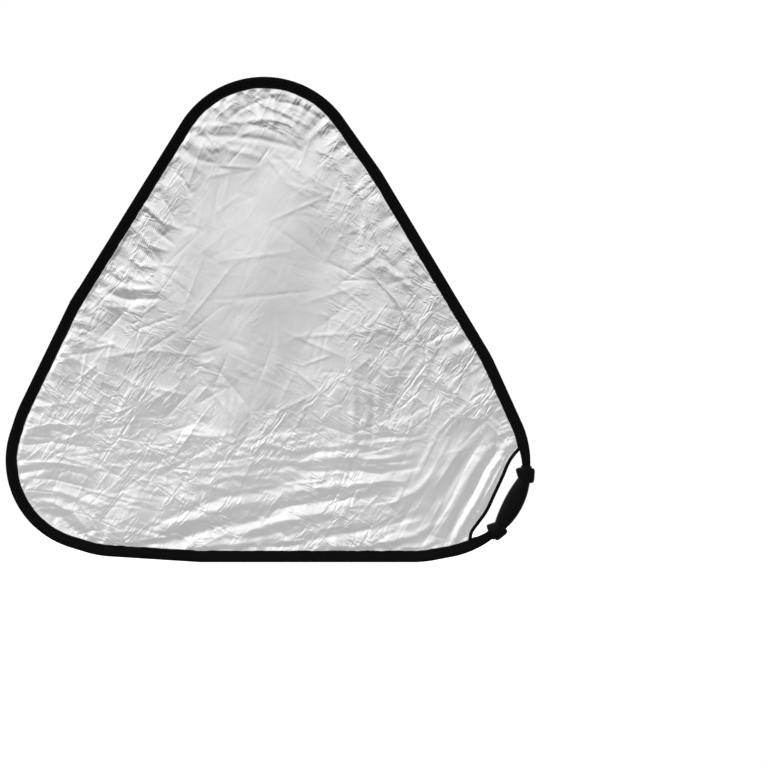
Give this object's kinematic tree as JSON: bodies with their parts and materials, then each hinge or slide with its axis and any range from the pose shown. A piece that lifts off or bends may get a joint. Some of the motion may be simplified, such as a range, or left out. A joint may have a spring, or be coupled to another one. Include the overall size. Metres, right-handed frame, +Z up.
{
  "type": "collapsible triangular hand reflector",
  "caption": "Rounded-triangle pop-up light reflector: sprung steel hoop in a black sewn rim, silver and white sheets, and a moulded hand grip at one corner.",
  "frame": {"origin": "middle of the hand grip, on its axis", "axes": "+Z up towards the apex, -Y out of the silver face, +X towards the grip side; the open panel lies in the plane y = 0"},
  "size_m": [0.8724, 0.026, 0.801],
  "materials": {
    "spring_steel": "blued spring steel, satin",
    "binding_tape": "woven polyester tape, matt black",
    "silver_cloth": "metallised foil-faced cloth, creased",
    "white_cloth": "plain woven nylon, matt white",
    "stitch_thread": "bonded polyester thread",
    "grip_plastic": "moulded, fine spark texture",
    "grip_rubber": "soft-touch, satin",
    "screw_steel": "black oxide",
    "insert_brass": "turned, knurled",
    "pin_steel": "ground"
  },
  "bodies": {
    "grip_side": {"spring_band_1": "spring_steel", "rim_binding_1": "binding_tape", "silver_sheet_1": "silver_cloth", "white_sheet_1": "white_cloth", "free_edge_tape": "binding_tape", "free_edge_bar_tacks": "stitch_thread", "free_rim_upper": "binding_tape", "free_rim_lower": "binding_tape", "grip_front_shell": "grip_plastic", "grip_rear_shell": "grip_plastic", "grip_rubber": "grip_rubber", "shell_screws": "screw_steel", "thread_inserts": "insert_brass", "band_pins": "pin_steel"},
    "leaf_2": {"spring_band_2": "spring_steel", "rim_binding_2": "binding_tape", "silver_sheet_2": "silver_cloth", "white_sheet_2": "white_cloth"},
    "leaf_3": {"spring_band_3": "spring_steel", "rim_binding_3": "binding_tape", "silver_sheet_3": "silver_cloth", "white_sheet_3": "white_cloth"},
    "leaf_4": {"spring_band_4": "spring_steel", "rim_binding_4": "binding_tape", "silver_sheet_4": "silver_cloth", "white_sheet_4": "white_cloth"},
    "leaf_5": {"spring_band_5": "spring_steel", "rim_binding_5": "binding_tape", "silver_sheet_5": "silver_cloth", "white_sheet_5": "white_cloth"},
    "leaf_6": {"spring_band_6": "spring_steel", "rim_binding_6": "binding_tape", "silver_sheet_6": "silver_cloth", "white_sheet_6": "white_cloth"},
    "leaf_7": {"spring_band_7": "spring_steel", "rim_binding_7": "binding_tape", "silver_sheet_7": "silver_cloth", "white_sheet_7": "white_cloth", "binding_splice": "binding_tape"}
  },
  "joints": [
    {"name": "fold_1", "type": "hinge", "parent": "grip_side", "child": "leaf_2", "pos_m": [-0.17876, 0, 0], "axis": [0, 0, 1], "range_deg": [0, 36], "stiffness_Nm_per_rad": 3},
    {"name": "fold_2", "type": "hinge", "parent": "leaf_2", "child": "leaf_3", "pos_m": [-0.26876, 0, 0], "axis": [0, 0, 1], "range_deg": [0, 36]},
    {"name": "fold_3", "type": "hinge", "parent": "leaf_3", "child": "leaf_4", "pos_m": [-0.35876, 0, 0], "axis": [0, 0, 1], "range_deg": [0, 36]},
    {"name": "fold_4", "type": "hinge", "parent": "leaf_4", "child": "leaf_5", "pos_m": [-0.44876, 0, 0], "axis": [0, 0, 1], "range_deg": [0, 36]},
    {"name": "fold_5", "type": "hinge", "parent": "leaf_5", "child": "leaf_6", "pos_m": [-0.53876, 0, 0], "axis": [0, 0, 1], "range_deg": [0, 36]},
    {"name": "fold_6", "type": "hinge", "parent": "leaf_6", "child": "leaf_7", "pos_m": [-0.62876, 0, 0], "axis": [0, 0, 1], "range_deg": [0, 36]}
  ],
  "couplings": [
    {"joint": "fold_2", "follows": "fold_1", "ratio": 1},
    {"joint": "fold_3", "follows": "fold_1", "ratio": 1},
    {"joint": "fold_4", "follows": "fold_1", "ratio": 1},
    {"joint": "fold_5", "follows": "fold_1", "ratio": 1},
    {"joint": "fold_6", "follows": "fold_1", "ratio": 1}
  ]
}
